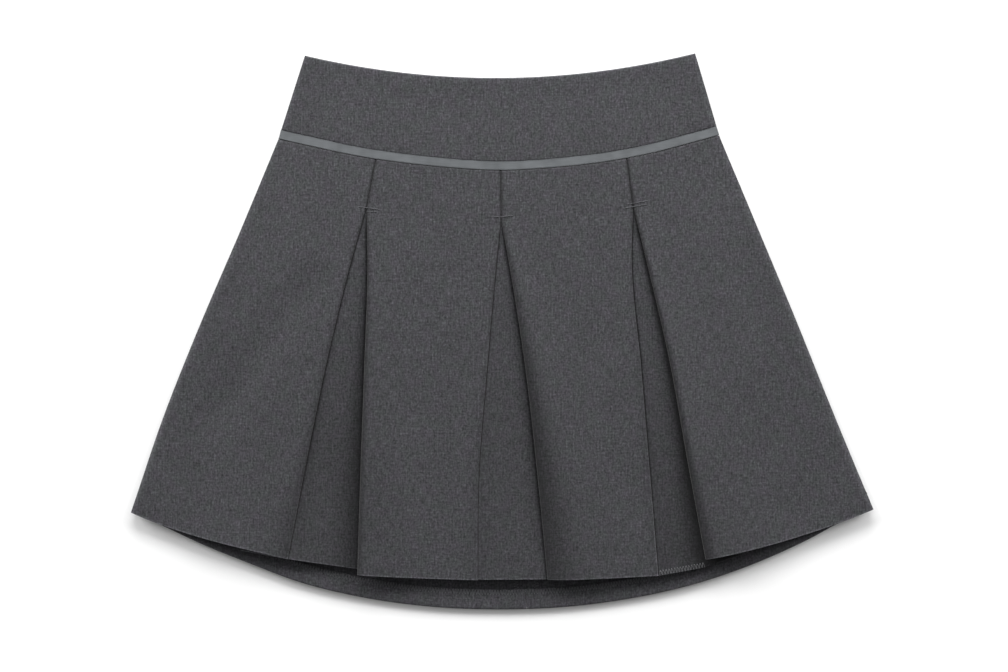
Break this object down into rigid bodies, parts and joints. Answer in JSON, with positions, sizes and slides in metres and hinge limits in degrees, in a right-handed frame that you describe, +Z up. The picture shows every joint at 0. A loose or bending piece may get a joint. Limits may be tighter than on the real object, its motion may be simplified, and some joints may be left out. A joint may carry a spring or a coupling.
{
  "type": "mini skirt",
  "caption": "Flared mini skirt laid flat, with a shaped yoke, a narrow ribbon below it, inverted box pleats stitched down at the top and a turned-up back hem.",
  "frame": {"origin": "on the surface that the skirt lies on, below the middle of its bounding box", "axes": "+X to the wearer's left, which is to the right as the skirt is looked at; +Y towards the waist; +Z up, out of the front"},
  "size_m": [0.6346, 0.4766, 0.0118],
  "materials": {
    "suiting": "matt charcoal melange suiting, plain weave with fine slubs",
    "ribbon": "grey satin ribbon with a soft sheen"
  },
  "bodies": {
    "root": {"front_yoke": "suiting", "ribbon": "ribbon", "front_skirt": "suiting", "back_yoke_left": "suiting", "back_yoke_right": "suiting", "back_skirt_left": "suiting", "back_skirt_right": "suiting"}
  },
  "joints": []
}
